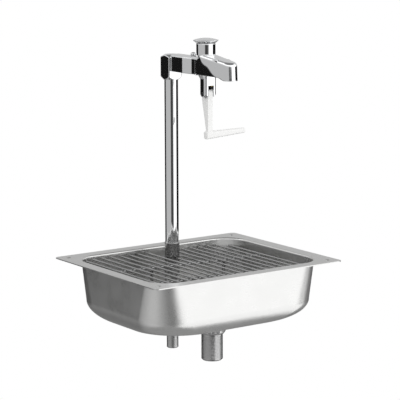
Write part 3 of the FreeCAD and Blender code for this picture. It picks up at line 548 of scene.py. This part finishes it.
@dataclass(frozen=True)
class RackWelds:
    """The flattened beads where each rack rod is welded to the cross rods."""

    piece: str = "rack_weld_beads"
    rod_pitch_mm: float = 13.84
    rods_each_side: int = 8
    cross_radius_mm: float = 2.0
    bead_mm: tuple[float, float, float] = (2.0, 2.3, 0.8)
    bead_divisions: int = 2

    def places(self) -> list[Vector]:
        """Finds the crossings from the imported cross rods' box.

        Returns:
            The middle of each bead, in metres.
        """
        low, high = (Vector(corner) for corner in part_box("rack_cross_rods"))
        radius = self.cross_radius_mm * MM
        slope = (high.z - low.z - 2.0 * radius) / (high.x - low.x)
        middle = (high.z + low.z) / 2.0
        return [Vector((x, y, middle - slope * x + radius))
                for x in (index * self.rod_pitch_mm * MM
                          for index in range(-self.rods_each_side, self.rods_each_side + 1))
                for y in (low.y + radius, high.y - radius)]

    def build(self) -> bpy.types.Object:
        """Makes the beads as one mesh.

        Returns:
            The beads as an object.
        """
        form = bmesh.new()
        scale = Matrix.Diagonal((*(size * MM for size in self.bead_mm), 1.0))
        for place in self.places():
            bmesh.ops.create_icosphere(form, subdivisions=self.bead_divisions, radius=1.0,
                                       matrix=Matrix.Translation(place) @ scale)
        mesh = bpy.data.meshes.new(self.piece)
        form.to_mesh(mesh)
        form.free()
        return smooth_object(self.piece, mesh)


@dataclass
class Dressing:
    """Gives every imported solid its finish, and adds the pieces that are made here."""

    made: dict[str, bpy.types.Material] = field(default_factory=dict)

    def material(self, finish: Finish) -> bpy.types.Material:
        """Returns the finish's material, which is made once.

        Args:
            finish: The finish.

        Returns:
            The one material of that finish.
        """
        if finish.name not in self.made:
            self.made[finish.name] = finish.build()
        return self.made[finish.name]

    def dress(self) -> None:
        """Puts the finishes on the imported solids."""
        for name, finish in NODE_FINISHES.items():
            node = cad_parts[name]
            node.data.materials.clear()
            node.data.materials.append(self.material(finish))
            log.info("dressed %s in %s", name, finish.name)

    def turn(self, turning: ThreadedTurning) -> None:
        """Puts a threaded turning in its plain solid's place.

        Args:
            turning: The turning's form and finish.
        """
        piece = turning.build()
        piece.data.materials.append(self.material(turning.finish))
        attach(piece, "root")
        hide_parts(turning.node)
        log.info("cut the thread of %s", turning.piece)

    def wind(self, coil: CoilSpring) -> None:
        """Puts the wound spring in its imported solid's place.

        Args:
            coil: The spring's sizes.
        """
        piece = coil.build()
        piece.data.materials.append(self.material(DRAWN_WIRE))
        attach(piece, "root")
        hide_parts("return_spring")
        log.info("wound the return spring")

    def weld(self, welds: RackWelds) -> None:
        """Puts the weld beads on the rack.

        Args:
            welds: The beads' places and sizes.
        """
        piece = welds.build()
        piece.data.materials.append(self.material(BRIGHT_WIRE))
        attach(piece, "root")
        log.info("welded the rack")


# The studio's walls, as rings of bearings in degrees with their grey levels. A ring runs from
# behind the object by the left, the camera (at 0) and the right. The first is seen in upright
# metal, the next two in faces that look up a little and more, and the last in those that look down.
Ring = tuple[tuple[float, float], ...]
WALL_RING: Ring = (
    (-180.0, 0.006), (-107.0, 0.006), (-104.5, 0.34), (-14.0, 0.34), (-8.0, 0.035), (20.0, 0.035),
    (32.0, 0.2), (40.0, 1.0), (86.0, 1.0), (93.0, 0.006), (180.0, 0.006))
CEILING_RING: Ring = (
    (-180.0, 0.4), (-90.0, 0.42), (10.0, 0.5), (40.0, 1.0), (100.0, 1.0), (150.0, 0.4),
    (180.0, 0.4))
OVERHEAD_RING: Ring = (
    (-180.0, 0.4), (-135.0, 0.4), (-108.0, 1.0), (100.0, 1.0), (130.0, 0.4), (180.0, 0.4))
GROUND_RING: Ring = (
    (-180.0, 0.16), (-138.0, 0.12), (-120.0, 0.11), (-111.0, 0.22), (-70.0, 0.45), (-45.0, 0.45),
    (-25.0, 0.3), (0.0, 0.17), (22.0, 0.17), (42.0, 0.9), (112.0, 0.9), (122.0, 0.16),
    (180.0, 0.16))


@dataclass(frozen=True)
class Studio:
    """The camera, the soft light and the pale floor.

    Each step is the height, -1 to 1, where one shade starts to go over into the next, and the
    height where it is over.
    """

    azimuth: float = -35.36
    elevation: float = 9.87
    roll: float = -0.16
    distance_mm: float = 2230.0
    aim_right_mm: float = 2.85
    aim_up_mm: float = 73.6
    sensor_mm: float = 36.0
    lens_mm: float = 160.55
    clip_near_m: float = 0.01
    clip_far_m: float = 50.0
    floor_mm: float = -870.0
    floor_size_mm: float = 1400.0
    floor_colour: str = "a0a0a0"
    floor_glow: float = 0.6
    zenith: float = 0.15
    ceiling_step: tuple[float, float] = (-0.02, 0.1)
    overhead_step: tuple[float, float] = (0.3, 0.45)
    zenith_step: tuple[float, float] = (0.6, 0.8)
    ground_step: tuple[float, float] = (-0.21, -0.33)
    mirrored_strength: float = 1.5
    key_bearing: float = 80.0
    key_lift: float = 0.35
    key_level: float = 0.26
    fill_level: float = 0.94

    def camera(self) -> None:
        """Sets the camera at the picture's angle."""
        azimuth = math.radians(self.azimuth)
        elevation = math.radians(self.elevation)
        roll = math.radians(self.roll)
        back = Vector((math.sin(azimuth) * math.cos(elevation),
                       -math.cos(azimuth) * math.cos(elevation), math.sin(elevation)))
        level = Vector((math.cos(azimuth), math.sin(azimuth), 0.0))
        above = back.cross(level)
        right = math.cos(roll) * level + math.sin(roll) * above
        upward = -math.sin(roll) * level + math.cos(roll) * above
        camera = bpy.data.objects.new("camera", bpy.data.cameras.new("camera"))
        bpy.context.scene.collection.objects.link(camera)
        camera.data.sensor_width = self.sensor_mm
        camera.data.lens = self.lens_mm
        camera.data.clip_start = self.clip_near_m
        camera.data.clip_end = self.clip_far_m
        camera.location = (back * self.distance_mm + right * self.aim_right_mm
                           + upward * self.aim_up_mm) * MM
        camera.rotation_euler = Matrix((right, upward, back)).transposed().to_euler()
        bpy.context.scene.camera = camera

    @staticmethod
    def paint_ring(ramp: bpy.types.Node, ring: Ring) -> None:
        """Paints a colour ramp with the grey levels of a ring of the walls.

        Args:
            ramp: The ramp, which runs once round from behind the object.
            ring: Bearings in degrees, each with its grey level, in rising order.
        """
        elements = ramp.color_ramp.elements
        while len(elements) < len(ring):
            elements.new(1.0)
        for element, (bearing, level) in zip(elements, ring):
            element.position = (bearing + 180.0) / 360.0
            element.color = (level, level, level, 1.0)

    @staticmethod
    def layer(tree: bpy.types.NodeTree, height: bpy.types.NodeSocket,
              step: tuple[float, float], shade: bpy.types.NodeSocket,
              other: bpy.types.NodeSocket | float) -> bpy.types.NodeSocket:
        """Lets one shade go over into another with height.

        Args:
            tree: The world's node tree.
            height: The direction's height, -1 to 1.
            step: Where the change starts, and where it is over.
            shade: The shade before it.
            other: The shade after it, or its grey level.

        Returns:
            The joined shade.
        """
        share = add_node(tree, "ShaderNodeMapRange", {"interpolation_type": "SMOOTHSTEP"}, {
            "Value": height, "From Min": step[0], "From Max": step[1]})
        after = (other, other, other, 1.0) if isinstance(other, float) else other
        joined = add_node(tree, "ShaderNodeMix", {"data_type": "RGBA"}, {
            "Factor": share.outputs["Result"], 6: shade, 7: after})
        return joined.outputs[2]

    def mirrored_shade(self, tree: bpy.types.NodeTree,
                       direction: bpy.types.NodeSocket) -> bpy.types.NodeSocket:
        """Makes what the metal mirrors.

        Just below the horizon, where upright metal mirrors, the walls run from black behind the
        object, through grey on the left and a thin dark gap, to a white screen on the right. The
        ceiling is light, brighter higher up and dark at its very top, and the ground is grey, with
        a white patch on the right.

        Args:
            tree: The world's node tree.
            direction: The direction that is looked in, turned so that the camera is at bearing 0.

        Returns:
            The shade in that direction.
        """
        parts = add_node(tree, "ShaderNodeSeparateXYZ", inputs={0: direction})
        towards = add_node(tree, "ShaderNodeMath", {"operation": "MULTIPLY"},
                           {0: parts.outputs["Y"], 1: -1.0})
        bearing = add_node(tree, "ShaderNodeMath", {"operation": "ARCTAN2"},
                           {0: parts.outputs["X"], 1: towards.outputs["Value"]})
        share = add_node(tree, "ShaderNodeMapRange", inputs={
            "Value": bearing.outputs["Value"], "From Min": -math.pi, "From Max": math.pi})
        shades = []
        for ring in (WALL_RING, CEILING_RING, OVERHEAD_RING, GROUND_RING):
            ramp = add_node(tree, "ShaderNodeValToRGB", inputs={0: share.outputs["Result"]})
            self.paint_ring(ramp, ring)
            shades.append(ramp.outputs["Color"])
        walls, ceiling, overhead, ground = shades
        height = parts.outputs["Z"]
        shade = self.layer(tree, height, self.ceiling_step, walls, ceiling)
        shade = self.layer(tree, height, self.overhead_step, shade, overhead)
        shade = self.layer(tree, height, self.zenith_step, shade, self.zenith)
        return self.layer(tree, height, self.ground_step, shade, ground)

    def soft_level(self, tree: bpy.types.NodeTree,
                   direction: bpy.types.NodeSocket) -> bpy.types.NodeSocket:
        """Makes the soft light on what isn't metal, which is strongest from the front right.

        Args:
            tree: The world's node tree.
            direction: The direction that the light comes from, turned like the mirrored shade's.

        Returns:
            The light's level from that direction.
        """
        key = math.radians(self.key_bearing)
        slant = add_node(tree, "ShaderNodeVectorMath", {"operation": "DOT_PRODUCT"}, {
            0: direction, 1: (math.sin(key), -math.cos(key), self.key_lift)})
        level = add_node(tree, "ShaderNodeMath", {"operation": "MULTIPLY_ADD"}, {
            0: slant.outputs["Value"], 1: self.key_level, 2: self.fill_level})
        return level.outputs["Value"]

    def world(self) -> None:
        """Makes the studio's walls: what metal mirrors, a soft light, and the white backdrop."""
        world = bpy.data.worlds.new("studio")
        bpy.context.scene.world = world
        tree = empty_tree(world)
        place = add_node(tree, "ShaderNodeTexCoord")
        turned = add_node(tree, "ShaderNodeVectorRotate", {"rotation_type": "Z_AXIS"}, {
            "Vector": place.outputs["Generated"], "Angle": -math.radians(self.azimuth)})
        direction = turned.outputs["Vector"]
        mirrored = add_node(tree, "ShaderNodeBackground", inputs={
            "Color": self.mirrored_shade(tree, direction), "Strength": self.mirrored_strength})
        soft = add_node(tree, "ShaderNodeBackground", inputs={
            "Color": linear(WHITE), "Strength": self.soft_level(tree, direction)})
        backdrop = add_node(tree, "ShaderNodeBackground", inputs={
            "Color": linear(WHITE), "Strength": 1.0})
        ray = add_node(tree, "ShaderNodeLightPath")
        lit = add_node(tree, "ShaderNodeMixShader", inputs={
            0: ray.outputs["Is Glossy Ray"], 1: soft.outputs[0], 2: mirrored.outputs[0]})
        seen = add_node(tree, "ShaderNodeMath", {"operation": "MAXIMUM"}, {
            0: ray.outputs["Is Camera Ray"], 1: ray.outputs["Is Transmission Ray"]})
        shown = add_node(tree, "ShaderNodeMixShader", inputs={
            0: seen.outputs["Value"], 1: lit.outputs[0], 2: backdrop.outputs[0]})
        add_node(tree, "ShaderNodeOutputWorld", inputs={"Surface": shown.outputs[0]})

    def floor(self) -> None:
        """Lays the pale floor that the thing hangs above, at a worktop's height."""
        half = self.floor_size_mm * MM / 2.0
        height = self.floor_mm * MM
        mesh = bpy.data.meshes.new("floor")
        mesh.from_pydata([(-half, -half, height), (half, -half, height), (half, half, height),
                          (-half, half, height)], [], [(0, 1, 2, 3)])
        floor = bpy.data.objects.new("floor", mesh)
        bpy.context.scene.collection.objects.link(floor)
        material = bpy.data.materials.new("pale_floor")
        tree = empty_tree(material)
        matt = add_node(tree, "ShaderNodeBsdfDiffuse", inputs={
            "Color": linear(self.floor_colour)})
        white = add_node(tree, "ShaderNodeEmission", inputs={
            "Color": linear(WHITE), "Strength": 1.0})
        ray = add_node(tree, "ShaderNodeLightPath")
        part = add_node(tree, "ShaderNodeMath", {"operation": "MULTIPLY"},
                        {0: ray.outputs["Is Camera Ray"], 1: self.floor_glow})
        mixed = add_node(tree, "ShaderNodeMixShader", inputs={
            0: part.outputs["Value"], 1: matt.outputs[0], 2: white.outputs[0]})
        add_node(tree, "ShaderNodeOutputMaterial", inputs={"Surface": mixed.outputs[0]})
        mesh.materials.append(material)

    def build(self) -> None:
        """Sets up the whole studio."""
        self.camera()
        self.world()
        self.floor()
        bpy.context.scene.view_settings.view_transform = "Standard"


def main() -> None:
    """Dresses the model and sets up the studio."""
    logging.basicConfig(level=logging.INFO, format="%(message)s")
    dressing = Dressing()
    dressing.dress()
    dressing.turn(WASTE_TURNING)
    dressing.turn(FOOT_TURNING)
    dressing.weld(RackWelds())
    dressing.wind(CoilSpring())
    Studio().build()


if __name__ == "__main__":
    main()
